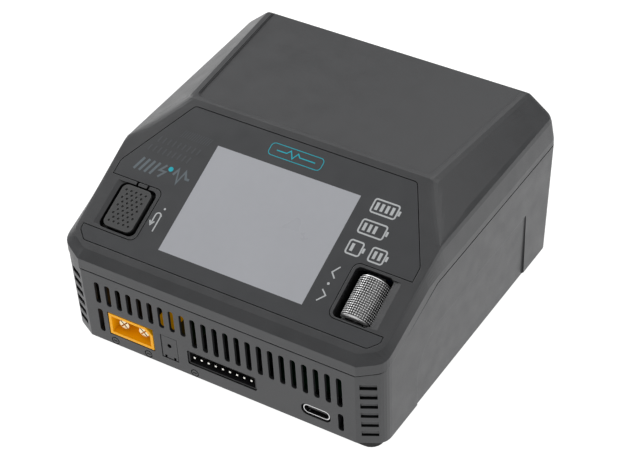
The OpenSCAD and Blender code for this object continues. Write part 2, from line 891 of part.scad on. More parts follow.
module usb_shell() {
    color([0.8, 0.8, 0.8]) on_front(0.4) translate([usb_x, usb_z, 0]) difference() {
        linear_extrude(7.4) usb_outline(0);
        translate([0, 0, -cut]) linear_extrude(6.8) usb_outline(-0.3);
    }
}

module usb_tongue() {
    color([0.1, 0.1, 0.1]) on_front(1.2) translate([usb_x, usb_z - 0.35, 0])
        translate([-3.35, 0, 0]) cube([6.7, 0.7, 5.5]);
}

module port_cover() {
    color([0.17, 0.18, 0.19]) on_front(0.1) translate([cover_x, port_z + cover_h / 2 - 1, 0])
        difference() {
            linear_extrude(1.6) square([cover_w - 0.5, cover_h - 0.5], center = true);
            translate([0, 0.8, -cut]) cylinder(r = 0.75, h = 3);
            for (i = [-1, 1]) translate([i * 1.6, -cover_h / 2 + 0.4, -cut]) block(0.8, 1.6, 3);
        }
}

// ---------- boards in the lower case ----------

module main_board() {
    color([0.06, 0.3, 0.16]) in_case() translate([0, 0, main_top - board_t]) difference() {
        translate([-main_hw, main_y0, 0]) cube([2 * main_hw, main_y1 - main_y0, board_t]);
        for (p = post_spots) translate([p[0], p[1], -cut]) cylinder(r = 1.7, h = board_t + 1);
    }
}

module mains_board() {
    color([0.42, 0.32, 0.14]) in_case() translate([0, 0, main_top - board_t]) difference() {
        translate([-mains_hw, mains_y0, 0]) cube([2 * mains_hw, mains_y1 - mains_y0, board_t]);
        for (p = post_spots) translate([p[0], p[1], -cut]) cylinder(r = 1.7, h = board_t + 1);
    }
}

module heat_sink() {
    fins = 9;
    color([0.72, 0.73, 0.75]) in_case() translate([0, 39, main_top]) {
        block(46, 18, 3);
        for (i = [0:fins - 1]) translate([0, (i - (fins - 1) / 2) * 2.1, 2.9]) block(46, 0.9, 11);
    }
}

module power_inductors() {
    color([0.28, 0.28, 0.3]) in_case() for (x = [-33, 33]) translate([x, 37, main_top]) {
        soft_block(14, 14, 8, 2);
        translate([0, 0, 8]) cylinder(r = 4.5, h = 0.6);
    }
}

module filter_capacitors() {
    color([0.16, 0.2, 0.42]) in_case() for (x = [-18, -6, 6, 18])
        translate([x, 24, main_top]) cylinder(r = 4, h = 12);
}

module beeper() {
    color([0.08, 0.08, 0.09]) in_case() translate([24, 55, main_top]) difference() {
        cylinder(r = 4.5, h = 5);
        translate([0, 0, 3.5]) cylinder(r = 0.9, h = 3);
    }
}

module mains_transformer() {
    color([0.75, 0.66, 0.3]) in_case() translate([0, 76.5, main_top]) {
        block(30, 22, 2);
        translate([0, 0, 1.9]) soft_block(22, 18, 18, 2);
        translate([0, 0, 19.8]) block(30, 22, 2.6);
        for (i = [-1, 1]) translate([i * 13.4, 0, 1.9]) block(3.2, 14, 18);
    }
}

module mains_capacitor() {
    color([0.1, 0.1, 0.12]) in_case() translate([26, 75, main_top]) difference() {
        cylinder(r = 8, h = 27);
        translate([0, 0, 26.6]) difference() {
            cylinder(r = 6.6, h = 1);
            block(1.2, 14, 0.9);
        }
    }
}

module mains_choke() {
    color([0.72, 0.42, 0.14]) in_case() translate([-27, 75, main_top + 9]) rotate([0, 90, 0])
        rotate_extrude() translate([6.3, 0]) circle(2.6);
}

module mains_fuse() {
    color([0.6, 0.58, 0.52]) in_case() translate([-42, 81, main_top + 3]) rotate([0, 90, 0])
        translate([0, 0, -7]) union() {
            cylinder(r = 2.2, h = 14);
            cylinder(r = 2.6, h = 3);
            translate([0, 0, 11]) cylinder(r = 2.6, h = 3);
            for (z = [0.5, 12]) translate([0, 0, z]) block(4, 1, 1.5);
        }
}

// ---------- rear ports ----------

inlet_w = 21;
inlet_h = 13;
inlet_depth = 15;
ac_pin_r = 1.18;
ac_root_r = 0.9;
ac_tip = 2.5;

module stadium(w, h) {
    translate([-(w - h) / 2, 0]) circle(h / 2);
    translate([(w - h) / 2, 0]) circle(h / 2);
    square([w - h, h], center = true);
}

// X across, Y upright, extrusion towards the front, from the rear face
module on_rear(x, z) {
    in_case() translate([x, rear_face_y, z]) rotate([90, 0, 0]) children();
}

module ac_inlet() {
    color([0.08, 0.08, 0.09]) on_rear(inlet_x, inlet_z) difference() {
        linear_extrude(inlet_depth) stadium(inlet_w, inlet_h);
        translate([0, 0, -cut]) linear_extrude(cavity_floor + cut) stadium(16.6, 8.4);
        for (i = [-1, 1]) translate([i * inlet_pitch / 2, 0, 10])
            cylinder(r = ac_root_r, h = 12);
    }
}

module ac_pins() {
    color([0.8, 0.8, 0.82]) on_rear(inlet_x, inlet_z)
        for (i = [-1, 1]) translate([i * inlet_pitch / 2, 0, 0]) {
            translate([0, 0, ac_tip]) cylinder(r = ac_pin_r, h = cavity_floor - ac_tip);
            translate([0, 0, cavity_floor - 0.1]) cylinder(r = ac_root_r, h = inlet_depth + 2 - cavity_floor);
        }
}

module input_socket() {
    color([0.95, 0.6, 0.12]) on_rear(input_x, input_z)
        translate([-xt_w / 2, -xt_h / 2, 0]) xt_housing();
}

module input_contacts() {
    color([0.92, 0.85, 0.6]) on_rear(input_x, input_z)
        translate([-xt_w / 2, -xt_h / 2, 0]) xt_contacts();
}

// ---------- fan ----------

fan_bore_r = fan_size / 2 - 1;
hub_r = 8;

module on_fan() {
    in_case() translate([0, fan_y, fan_z]) rotate([90, 0, 0]) children();
}

module fan_frame() {
    color([0.07, 0.07, 0.08]) on_fan() {
        difference() {
            soft_block(fan_size, fan_size, fan_t, 2.5);
            translate([0, 0, -cut]) cylinder(r = fan_bore_r, h = fan_t + 1);
            for (x = [-1, 1], y = [-1, 1]) translate([x * fan_hole / 2, y * fan_hole / 2, -cut])
                cylinder(r = 1.5, h = fan_t + 1);
        }
        difference() {
            union() {
                cylinder(r = hub_r, h = 1.2);
                for (a = [0:90:270]) rotate([0, 0, a + 20]) translate([hub_r + 4, 0, 0])
                    block(fan_bore_r - hub_r + 2, 1.6, 1.2);
            }
            translate([0, 0, -cut]) cylinder(r = 1, h = 3);
        }
    }
}

blade_n = 7;

module fan_rotor() {
    color([0.1, 0.1, 0.11]) on_fan() {
        translate([0, 0, 1.7]) cylinder(r = hub_r, h = fan_t - 2.2);
        translate([0, 0, 0.2]) cylinder(r = 0.95, h = 2);
        for (i = [0:blade_n - 1]) rotate([0, 0, i * 360 / blade_n])
            translate([(hub_r + fan_bore_r) / 2 - 0.5, 0, fan_t / 2 + 0.6]) rotate([38, 0, 0])
                block(fan_bore_r - hub_r - 0.2, 8, 0.7);
    }
}

// ---------- fasteners and feet ----------

module pan_screw(r, head_r, head_h, l) {
    difference() {
        union() {
            translate([0, 0, -head_h]) cylinder(r = head_r, h = head_h);
            cylinder(r = r, h = l);
        }
        for (a = [0, 90]) rotate([0, 0, a]) translate([0, 0, -head_h - 0.1])
            block(head_r * 1.2, head_r * 0.3, head_h * 0.6);
    }
}

module fan_screws() {
    color([0.1, 0.1, 0.1]) in_case()
        for (x = [-1, 1], z = [-1, 1])
            translate([x * fan_hole / 2, fan_seat_y(z), fan_z + z * fan_hole / 2])
                rotate([90, 0, 0]) pan_screw(screw_r, fan_head_r, 1, 9);
}

module case_screws() {
    color([0.15, 0.15, 0.16]) in_case() mirror_x() {
        translate([boss_x, boss_front_y, seat_z(boss_front_y)]) pan_screw(screw_r, screw_head_r, 2, 9.5);
        translate([boss_x, boss_rear_y, seat_z(boss_rear_y)]) pan_screw(screw_r, screw_head_r, 2, 14);
    }
}

module board_screws() {
    color([0.75, 0.75, 0.77]) in_case() for (p = post_spots)
        translate([p[0], p[1], main_top]) rotate([180, 0, 0]) pan_screw(1.15, 2.4, 1.4, 2.2);
}

module control_screws() {
    color([0.75, 0.75, 0.77]) on_deck() mirror_x() for (s = deck_post_s)
        translate([29.5, s, control_top - board_t]) pan_screw(0.9, 2, 1.2, 6);
}

foot_x = 43;
foot_front_y = 11.4;
foot_rear_y = 92;

module rubber_feet() {
    color([0.1, 0.1, 0.1]) in_case() for (x = [-foot_x, foot_x], y = [foot_front_y, foot_rear_y])
        translate([x, y, -foot_h]) soft_block(18, 18, foot_h, 4);
}

lower_case();
upper_case();
display_fascia();
screen_window();
display_panel();
display_frame();
control_board();
exit_button();
exit_switch();
exit_plunger();
roller();
roller_shaft();
roller_carrier();
roller_frame();
roller_encoder();
roller_switch();
roller_plunger();
main_board();
output_socket();
output_contacts();
balance_header();
balance_pins();
usb_shell();
usb_tongue();
port_cover();
input_socket();
input_contacts();
ac_inlet();
ac_pins();
mains_board();
mains_transformer();
mains_capacitor();
mains_choke();
mains_fuse();
heat_sink();
power_inductors();
filter_capacitors();
beeper();
fan_frame();
fan_rotor();
fan_screws();
case_screws();
board_screws();
control_screws();
rubber_feet();
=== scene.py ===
"""Looks of the balance battery charger: materials, knurled roller, prints, light and camera."""
import math

import bmesh
import bpy
from mathutils import Matrix, Vector


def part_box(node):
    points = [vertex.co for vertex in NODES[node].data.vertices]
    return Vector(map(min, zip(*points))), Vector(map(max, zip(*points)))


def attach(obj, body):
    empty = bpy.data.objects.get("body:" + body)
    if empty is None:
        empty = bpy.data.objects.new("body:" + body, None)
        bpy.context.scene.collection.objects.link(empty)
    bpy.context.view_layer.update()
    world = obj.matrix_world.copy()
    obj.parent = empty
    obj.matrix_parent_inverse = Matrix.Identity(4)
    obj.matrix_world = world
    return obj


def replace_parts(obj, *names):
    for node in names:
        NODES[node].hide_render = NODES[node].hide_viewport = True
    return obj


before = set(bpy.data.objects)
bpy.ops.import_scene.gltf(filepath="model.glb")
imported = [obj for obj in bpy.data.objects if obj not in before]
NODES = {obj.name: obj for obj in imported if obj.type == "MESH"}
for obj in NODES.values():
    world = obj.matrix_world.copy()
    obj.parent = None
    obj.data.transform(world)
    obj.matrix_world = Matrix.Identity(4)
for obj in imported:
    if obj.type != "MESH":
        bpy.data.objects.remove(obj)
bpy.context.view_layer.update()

MM = 0.001

# The deck's own frame: x across, s up the slope from the front plane, n out of the deck
DECK_ANGLE = math.radians(24.5)
FRONT_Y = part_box("upper_case")[0][1]
DECK_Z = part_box("lower_case")[0][2] + 32 * MM
UP_SLOPE = Vector((0, math.cos(DECK_ANGLE), math.sin(DECK_ANGLE)))
OUTWARD = Vector((0, -math.sin(DECK_ANGLE), math.cos(DECK_ANGLE)))


def on_deck(x, s, n=0.0):
    """Point in the row frame of a deck point given in millimetres."""
    return Vector((x * MM, FRONT_Y, DECK_Z)) + UP_SLOPE * s * MM + OUTWARD * n * MM


# ---------- materials ----------

BEVEL_SAMPLES = 6
SHADE_SAMPLES = 8
# Openness of a crevice at which its painted shade is full, and at which it ends
OPEN_FROM = 0.3
OPEN_TO = 0.85
# Share of fine grain and of broad mottling in the colour
FINE_SHARE = 0.35
BROAD_SHARE = 0.65
# Noise values over which colour and roughness run from low to high
NOISE_LOW = 0.3
NOISE_HIGH = 0.7
WEAR_RADIUS = 0.5
RELIEF_DEPTH = 0.05


def node_tree(name):
    mat = bpy.data.materials.new(name)
    mat.use_nodes = True
    tree = mat.node_tree
    return mat, tree.nodes, tree.links, tree.nodes["Principled BSDF"]


def finish_material(
    name, colour, rough, metal=0.0, grain=0.25, bump=0.12, mottle=0.1, patch=6.0,
    wear=0.0, wear_colour=None, coat=0.0, rough_spread=0.08, specular=0.5, edge=0.12,
    shade=0.0, shade_reach=3.0, glow=0.0,
):
    """Procedural finish: fine grain bump, broad mottling, uneven roughness, worn edges, painted
    shade in crevices and an optional painted glow. Lengths in mm."""
    mat, nodes, links, shader = node_tree(name)
    coord = nodes.new("ShaderNodeTexCoord")
    fine = nodes.new("ShaderNodeTexNoise")
    fine.inputs["Scale"].default_value = 1 / (grain * MM)
    fine.inputs["Detail"].default_value = 3
    broad = nodes.new("ShaderNodeTexNoise")
    broad.inputs["Scale"].default_value = 1 / (patch * MM)
    broad.inputs["Detail"].default_value = 5
    for texture in (fine, broad):
        links.new(coord.outputs["Object"], texture.inputs["Vector"])

    dark = [c * (1 - mottle) for c in colour]
    light = [min(1, c * (1 + mottle)) for c in colour]
    ramp = nodes.new("ShaderNodeValToRGB")
    ramp.color_ramp.elements[0].position = NOISE_LOW
    ramp.color_ramp.elements[0].color = (*dark, 1)
    ramp.color_ramp.elements[1].position = NOISE_HIGH
    ramp.color_ramp.elements[1].color = (*light, 1)
    mix = nodes.new("ShaderNodeMath")
    mix.operation = "MULTIPLY_ADD"
    mix.inputs[1].default_value = FINE_SHARE
    links.new(fine.outputs["Fac"], mix.inputs[0])
    scaled = nodes.new("ShaderNodeMath")
    scaled.operation = "MULTIPLY"
    scaled.inputs[1].default_value = BROAD_SHARE
    links.new(broad.outputs["Fac"], scaled.inputs[0])
    links.new(scaled.outputs[0], mix.inputs[2])
    links.new(mix.outputs[0], ramp.inputs["Fac"])
    colour_out = ramp.outputs["Color"]

    rough_map = nodes.new("ShaderNodeMapRange")
    rough_map.inputs["From Min"].default_value = NOISE_LOW
    rough_map.inputs["From Max"].default_value = NOISE_HIGH
    rough_map.inputs["To Min"].default_value = max(0.02, rough - rough_spread)
    rough_map.inputs["To Max"].default_value = min(1, rough + rough_spread)
    links.new(broad.outputs["Fac"], rough_map.inputs["Value"])
    rough_out = rough_map.outputs["Result"]

    if wear:
        soft = nodes.new("ShaderNodeBevel")
        soft.samples = BEVEL_SAMPLES
        soft.inputs["Radius"].default_value = WEAR_RADIUS * MM
        flat = nodes.new("ShaderNodeNewGeometry")
        dot = nodes.new("ShaderNodeVectorMath")
        dot.operation = "DOT_PRODUCT"
        links.new(soft.outputs["Normal"], dot.inputs[0])
        links.new(flat.outputs["Normal"], dot.inputs[1])
        worn = nodes.new("ShaderNodeMapRange")
        worn.inputs["From Min"].default_value = 0.99
        worn.inputs["From Max"].default_value = 0.85
        worn.inputs["To Min"].default_value = 0.0
        worn.inputs["To Max"].default_value = wear
        links.new(dot.outputs["Value"], worn.inputs["Value"])
        broken = nodes.new("ShaderNodeMath")
        broken.operation = "MULTIPLY"
        links.new(worn.outputs["Result"], broken.inputs[0])
        links.new(broad.outputs["Fac"], broken.inputs[1])
        blend = nodes.new("ShaderNodeMix")
        blend.data_type = "RGBA"
        blend.inputs["B"].default_value = (*(wear_colour or [min(1, c * 2.2) for c in colour]), 1)
        links.new(broken.outputs[0], blend.inputs["Factor"])
        links.new(colour_out, blend.inputs["A"])
        colour_out = blend.outputs["Result"]

    # Painted shade: the colour is scaled down where ambient occlusion finds creases and recesses
    if shade:
        hollow = nodes.new("ShaderNodeAmbientOcclusion")
        hollow.samples = SHADE_SAMPLES
        hollow.inputs["Distance"].default_value = shade_reach * MM
        painted_shade_factor = nodes.new("ShaderNodeMapRange")
        painted_shade_factor.inputs["From Min"].default_value = OPEN_FROM
        painted_shade_factor.inputs["From Max"].default_value = OPEN_TO
        painted_shade_factor.inputs["To Min"].default_value = 1 - shade
        painted_shade_factor.inputs["To Max"].default_value = 1.0
        links.new(hollow.outputs["AO"], painted_shade_factor.inputs["Value"])
        shaded_colour = nodes.new("ShaderNodeVectorMath")
        shaded_colour.operation = "SCALE"
        links.new(colour_out, shaded_colour.inputs[0])
        links.new(painted_shade_factor.outputs["Result"], shaded_colour.inputs["Scale"])
        colour_out = shaded_colour.outputs["Vector"]

    relief = nodes.new("ShaderNodeBump")
    relief.inputs["Strength"].default_value = bump
    relief.inputs["Distance"].default_value = RELIEF_DEPTH * MM
    links.new(fine.outputs["Fac"], relief.inputs["Height"])
    if edge:
        rounded = nodes.new("ShaderNodeBevel")
        rounded.samples = BEVEL_SAMPLES
        rounded.inputs["Radius"].default_value = edge * MM
        links.new(rounded.outputs["Normal"], relief.inputs["Normal"])
    links.new(colour_out, shader.inputs["Base Color"])
    # Painted glow: the colour also emits light, though the part is no lamp
    if glow:
        links.new(colour_out, shader.inputs["Emission Color"])
        shader.inputs["Emission Strength"].default_value = glow
    links.new(rough_out, shader.inputs["Roughness"])
    links.new(relief.outputs["Normal"], shader.inputs["Normal"])
    shader.inputs["Metallic"].default_value = metal
    shader.inputs["Specular IOR Level"].default_value = specular
    shader.inputs["Coat Weight"].default_value = coat
    return mat


# Upper skin of a socket, measured down from its top and back from its mouth, and the colour factor
# of the painted shade there
SKIN = 0.3
FRONT_WALL = 2.0
HIDDEN_SHADE = 0.01


def paint_shade_behind_wall(mat, node_name):
    """Paints shade on the upper skin of a socket behind the front wall, where the slots show it:
    its colour and glow are scaled near black there.
    """
    tree = mat.node_tree
    low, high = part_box(node_name)
    place = tree.nodes.new("ShaderNodeTexCoord")
    split = tree.nodes.new("ShaderNodeSeparateXYZ")
    tree.links.new(place.outputs["Object"], split.inputs["Vector"])
    tests = []
    for axis, limit in (("Z", high[2] - SKIN * MM), ("Y", low[1] + FRONT_WALL * MM)):
        test = tree.nodes.new("ShaderNodeMath")
        test.operation = "GREATER_THAN"
        test.inputs[1].default_value = limit
        tree.links.new(split.outputs[axis], test.inputs[0])
        tests.append(test.outputs[0])
    hidden = tree.nodes.new("ShaderNodeMath")
    hidden.operation = "MULTIPLY"
    for i, output in enumerate(tests):
        tree.links.new(output, hidden.inputs[i])
    keep = tree.nodes.new("ShaderNodeMapRange")
    keep.inputs["To Min"].default_value = 1.0
    keep.inputs["To Max"].default_value = HIDDEN_SHADE
    tree.links.new(hidden.outputs[0], keep.inputs["Value"])
    shader = tree.nodes["Principled BSDF"]
    shown = shader.inputs["Base Color"].links[0].from_socket
    scaled = tree.nodes.new("ShaderNodeVectorMath")
    scaled.operation = "SCALE"
    tree.links.new(shown, scaled.inputs[0])
    tree.links.new(keep.outputs["Result"], scaled.inputs["Scale"])
    for name in ("Base Color", "Emission Color"):
        tree.links.new(scaled.outputs["Vector"], shader.inputs[name])


# Parts inside the closed case get painted shade over a long reach, so they read dark through the
# slots
INNER = {"shade": 0.95, "shade_reach": 14.0}
BODY = (0.046, 0.047, 0.05)
# shade= paints shade into the creases and recesses of the case
case_mat = finish_material(
    "case_plastic", BODY, 0.43, grain=0.3, bump=0.6, mottle=0.13, wear=0.8, edge=0.2,
    rough_spread=0.05, specular=0.6, shade=0.97, shade_reach=3.5)
fascia_mat = finish_material(
    "fascia_plastic", (0.052, 0.054, 0.058), 0.42, grain=0.12, bump=0.08, mottle=0.05, edge=0.1)
screen_mat = finish_material(
    "window_film", (0.5, 0.51, 0.545), 0.32, grain=2.5, bump=0.02, mottle=0.025, patch=28,
    coat=0.35, edge=0)
glass_mat = finish_material("display_glass", (0.3, 0.31, 0.33), 0.15, grain=0.5, bump=0.02, edge=0)
# The key gets painted shade in its dimples and the gaps around it
key_mat = finish_material(
    "key_plastic", (0.066, 0.067, 0.068), 0.55, grain=0.2, bump=0.25, mottle=0.1, wear=0.8,
    edge=0.15, shade=0.98, shade_reach=2.5)
# Dark plastic parts get painted shade in their recesses
dark_plastic = finish_material(
    "dark_plastic", (0.014, 0.014, 0.016), 0.5, grain=0.2, bump=0.15, shade=0.8)
pale_plastic = finish_material("pale_plastic", (0.6, 0.6, 0.58), 0.45, grain=0.2)
# The orange nylon carries a faint painted glow from its own colour
nylon_mat = finish_material(
    "connector_nylon", (1.0, 0.44, 0.0), 0.4, grain=0.3, bump=0.12, mottle=0.05, edge=0.15,
    specular=0.3, shade=0.3, shade_reach=4, glow=0.16)
# Copy of the nylon for the output socket, with painted shade behind the front wall
nylon_painted_shade_copy = nylon_mat.copy()
nylon_painted_shade_copy.name = "connector_nylon_painted_shade"
paint_shade_behind_wall(nylon_painted_shade_copy, "output_socket")
gilt_mat = finish_material(
    "gilt_contact", (0.86, 0.74, 0.5), 0.24, metal=1.0, grain=0.15, bump=0.06, edge=0.1)
tin_mat = finish_material(
    "tinned_pin", (0.86, 0.85, 0.8), 0.25, metal=1.0, grain=0.1, bump=0.05, edge=0.1)
steel_mat = finish_material(
    "port_steel", (0.72, 0.72, 0.73), 0.22, metal=1.0, grain=0.2, bump=0.04, edge=0.08)
# The roller gets painted shade in the gaps between its knurl studs
roller_mat = finish_material(
    "roller_metal", (0.95, 0.95, 0.96), 0.34, metal=0.75, grain=0.08, bump=0.12, mottle=0.05,
    edge=0.05, shade=0.97, shade_reach=0.8)
shaft_mat = finish_material("shaft_steel", (0.6, 0.6, 0.62), 0.3, metal=1.0, grain=0.15)
zinc_mat = finish_material(
    "zinc_screw", (0.65, 0.65, 0.66), 0.35, metal=1.0, grain=0.15, wear=0.4, **INNER)
black_screw = finish_material(
    "black_screw", (0.02, 0.02, 0.022), 0.38, metal=0.6, grain=0.15, wear=0.6,
    wear_colour=(0.3, 0.3, 0.31))
fin_mat = finish_material("fin_aluminium", (0.7, 0.71, 0.72), 0.35, metal=1.0, grain=0.3, **INNER)
board_mat = finish_material(
    "circuit_board", (0.012, 0.1, 0.04), 0.35, grain=0.6, mottle=0.3, patch=2, coat=0.4,
    **INNER)
laminate_mat = finish_material(
    "mains_laminate", (0.16, 0.09, 0.03), 0.5, grain=0.5, mottle=0.2, patch=3, **INNER)
ferrite_mat = finish_material("ferrite", (0.045, 0.045, 0.048), 0.6, grain=0.2, bump=0.3, **INNER)
tape_mat = finish_material("coil_tape", (0.55, 0.42, 0.08), 0.4, grain=0.4, coat=0.3, **INNER)
sleeve_mat = finish_material("capacitor_sleeve", (0.012, 0.012, 0.015), 0.3, grain=0.4, coat=0.3)
blue_mat = finish_material("blue_sleeve", (0.02, 0.035, 0.16), 0.3, grain=0.4, coat=0.3, **INNER)
copper_mat = finish_material(
    "copper_wire", (0.75, 0.28, 0.08), 0.3, metal=0.9, grain=0.5, bump=0.4, **INNER)
fuse_mat = finish_material("fuse_glass", (0.5, 0.5, 0.46), 0.1, grain=0.5, coat=0.8, **INNER)
fan_mat = finish_material("fan_plastic", (0.02, 0.02, 0.022), 0.45, grain=0.25, bump=0.15)
encoder_mat = finish_material("encoder_plastic", (0.02, 0.06, 0.16), 0.4, grain=0.25)
rubber_mat = finish_material(
    "foot_rubber", (0.018, 0.018, 0.018), 0.8, grain=0.3, bump=0.4, mottle=0.2)

LOOKS = {
    case_mat: ("lower_case", "upper_case", "port_cover"),
    fascia_mat: ("display_fascia",),
    screen_mat: ("screen_window",),
    glass_mat: ("display_panel",),
    key_mat: ("exit_button",),
    dark_plastic: (
        "exit_switch", "roller_switch", "roller_carrier", "roller_frame", "balance_header",
        "usb_tongue", "ac_inlet", "beeper"),
    pale_plastic: ("exit_plunger", "roller_plunger"),
    nylon_painted_shade_copy: ("output_socket",),
    nylon_mat: ("input_socket",),
    gilt_mat: ("output_contacts", "input_contacts"),
    tin_mat: ("balance_pins", "ac_pins"),
    steel_mat: ("usb_shell", "display_frame"),
    roller_mat: ("roller",),
    shaft_mat: ("roller_shaft",),
    zinc_mat: ("board_screws", "control_screws"),
    black_screw: ("case_screws", "fan_screws"),
    fin_mat: ("heat_sink",),
    board_mat: ("main_board", "control_board"),
    laminate_mat: ("mains_board",),
    ferrite_mat: ("power_inductors",),
    tape_mat: ("mains_transformer",),
    sleeve_mat: ("mains_capacitor",),
    blue_mat: ("filter_capacitors",),
    copper_mat: ("mains_choke",),
    fuse_mat: ("mains_fuse",),
    fan_mat: ("fan_frame", "fan_rotor"),
    encoder_mat: ("roller_encoder",),
    rubber_mat: ("rubber_feet",),
}
for look, names in LOOKS.items():
    for node_name in names:
        slots = NODES[node_name].material_slots
        if not slots:
            NODES[node_name].data.materials.append(look)
        for material_slot in slots:
            material_slot.material = look


# ---------- new pieces ----------

def new_piece(name, verts, faces, mat, body):
    mesh = bpy.data.meshes.new(name)
    mesh.from_pydata([tuple(v) for v in verts], [], faces)
    work = bmesh.new()
    work.from_mesh(mesh)
    bmesh.ops.recalc_face_normals(work, faces=work.faces)
    work.to_mesh(mesh)
    work.free()
    mesh.materials.append(mat)
    piece = bpy.data.objects.new(name, mesh)
    bpy.context.scene.collection.objects.link(piece)
    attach(piece, body)
    return piece


# Knurled roller: rings of small square studs between two smooth rounded ends
ROLLER_X = 40.3
ROLLER_S = 19.0
ROLLER_N = -4.0
ROLLER_L = 13.8
CROWN_R = 5.0
ROOT_R = 4.45
STUDS_ROUND = 40
STUD_ROWS = 17
END_BAND = 0.75


def roller_point(radius, angle, along):
    x = ROLLER_X + radius * math.sin(angle)
    n = ROLLER_N + radius * math.cos(angle)
    return on_deck(x, ROLLER_S + along, n)


def knurled_roller():
    verts, faces = [], []
    half = ROLLER_L / 2
    band = [(half, 0.9), (half, 3.9), (half - 0.12, 4.45), (half - 0.35, 4.8), (half - 0.6, 4.86)]
    band.append((half - END_BAND, ROOT_R))
    profile = [(-a, r) for a, r in band] + [(a, r) for a, r in reversed(band)]
    around = 2 * STUDS_ROUND
    for along, radius in profile:
        verts += [roller_point(radius, 2 * math.pi * i / around, along) for i in range(around)]
    for ring in range(len(profile)):
        a = ring * around
        b = ((ring + 1) % len(profile)) * around
        for i in range(around):
            j = (i + 1) % around
            faces.append((a + i, a + j, b + j, b + i))
    pitch_s = (ROLLER_L - 2 * END_BAND) / STUD_ROWS
    pitch_a = 2 * math.pi / STUDS_ROUND
    for row in range(STUD_ROWS):
        mid = -half + END_BAND + (row + 0.5) * pitch_s
        for column in range(STUDS_ROUND):
            turn = column * pitch_a
            start = len(verts)
            for radius, share in ((ROOT_R - 0.1, 0.33), (CROWN_R - 0.1, 0.29), (CROWN_R, 0.2)):
                for da, ds in ((-1, -1), (1, -1), (1, 1), (-1, 1)):
                    verts.append(roller_point(
                        radius, turn + da * share * pitch_a, mid + ds * share * pitch_s))
            for ring in (0, 4):
                for k in range(4):
                    m = (k + 1) % 4
                    a = start + ring
                    faces.append((a + k, a + m, a + 4 + m, a + 4 + k))
            faces.append(tuple(start + 8 + k for k in range(4)))
            faces.append(tuple(start + k for k in (3, 2, 1, 0)))
    return new_piece("roller_knurl", verts, faces, roller_mat, "roller_wheel")


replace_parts(knurled_roller(), "roller")


# Printed marks: flat strokes that stand a hair proud of the fascia
PRINT_N = 0.03
teal_mat = finish_material(
    "print_teal", (0.0, 0.5, 0.62), 0.45, grain=0.1, bump=0.05, mottle=0.06, edge=0)
pale_mat = finish_material(
    "print_pale", (0.6, 0.62, 0.63), 0.5, grain=0.1, bump=0.05, mottle=0.06, edge=0)
dim_mat = finish_material(
    "print_dim", (0.14, 0.17, 0.19), 0.5, grain=0.1, bump=0.05, mottle=0.1, edge=0)
faint_mat = finish_material("print_faint", (0.074, 0.08, 0.086), 0.5, grain=0.1, bump=0.05, edge=0)


def stroke(path, width, closed=False):
    """Outline quads of a stroke along 2-D deck points, mitred at the corners."""
    count = len(path)
    points = [Vector(p) for p in path]
    left, right = [], []
    for i, p in enumerate(points):
        before = points[(i - 1) % count] if closed or i > 0 else None
        after = points[(i + 1) % count] if closed or i < count - 1 else None
        d_in = (p - before).normalized() if before is not None else (after - p).normalized()
        d_out = (after - p).normalized() if after is not None else d_in
        tangent = (d_in + d_out).normalized()
        normal = Vector((-tangent.y, tangent.x))
        stretch = 1 / max(0.5, normal.dot(Vector((-d_in.y, d_in.x))))
        left.append(p + normal * width / 2 * stretch)
        right.append(p - normal * width / 2 * stretch)
    spans = range(count if closed else count - 1)
    return [(left[i], left[(i + 1) % count], right[(i + 1) % count], right[i]) for i in spans]


def print_piece(name, quads, mat):
    """Thin solid print from 2-D deck quads."""
    verts, faces = [], []
    for quad in quads:
        start = len(verts)
        size = len(quad)
        verts += [on_deck(p[0], p[1], PRINT_N) for p in quad]
        verts += [on_deck(p[0], p[1], -0.01) for p in quad]
        faces.append(tuple(range(start, start + size)))
        faces.append(tuple(range(start + 2 * size - 1, start + size - 1, -1)))
        for i in range(size):
            j = (i + 1) % size
            faces.append((start + i, start + size + i, start + size + j, start + j))
    return new_piece(name, verts, faces, mat, "base")


def arc(cx, cy, radius, start, end, count=6):
    angles = [math.radians(start + (end - start) * i / count) for i in range(count + 1)]
    return [(cx + radius * math.cos(a), cy + radius * math.sin(a)) for a in angles]


def rounded_box(x0, s0, x1, s1, radius):
    return (
        arc(x1 - radius, s1 - radius, radius, 0, 90)
        + arc(x0 + radius, s1 - radius, radius, 90, 180)
        + arc(x0 + radius, s0 + radius, radius, 180, 270)
        + arc(x1 - radius, s0 + radius, radius, 270, 360)
    )


def disc(x, s, radius):
    return [tuple(arc(x, s, radius, 0, 345, 23))]


# Scroll arrows and rest dot beside the roller
LINE = 0.42
arrows = stroke([(29.8, 25.1), (28.2, 22.8), (29.8, 21.2)], LINE)
arrows += stroke([(28.1, 17.1), (29.9, 15.6), (28.0, 13.3)], LINE)
arrows += disc(28.9, 19.2, 0.42)
print_piece("print_scroll_arrows", arrows, pale_mat)

# Return-arrow sign beside the key
key_bend = arc(-30.5, 20.4, 0.9, 0, 180, 8)
key_sign = stroke([(-29.6, 15.2), (-29.6, 20.4)] + key_bend + [(-31.4, 17.2)], LINE)
key_sign += stroke([(-32.2, 18.3), (-31.4, 17.0), (-30.6, 18.3)], LINE)
key_sign += disc(-29.6, 23.0, 0.36)
print_piece("print_key_sign", key_sign, pale_mat)

# Plain badge over the display, with a pulse line
BADGE = (-9.0, 50.3, 9.0, 54.4)
badge = stroke(rounded_box(*BADGE, 1.3), 0.22, closed=True)
pulse = [
    (-6.6, 52.3), (-3.2, 52.3), (-2.2, 53.5), (-0.8, 51.2), (0.4, 53.3), (1.3, 52.3), (6.6, 52.3),
]
badge += stroke(pulse, 0.34)
print_piece("print_badge", badge, teal_mat)


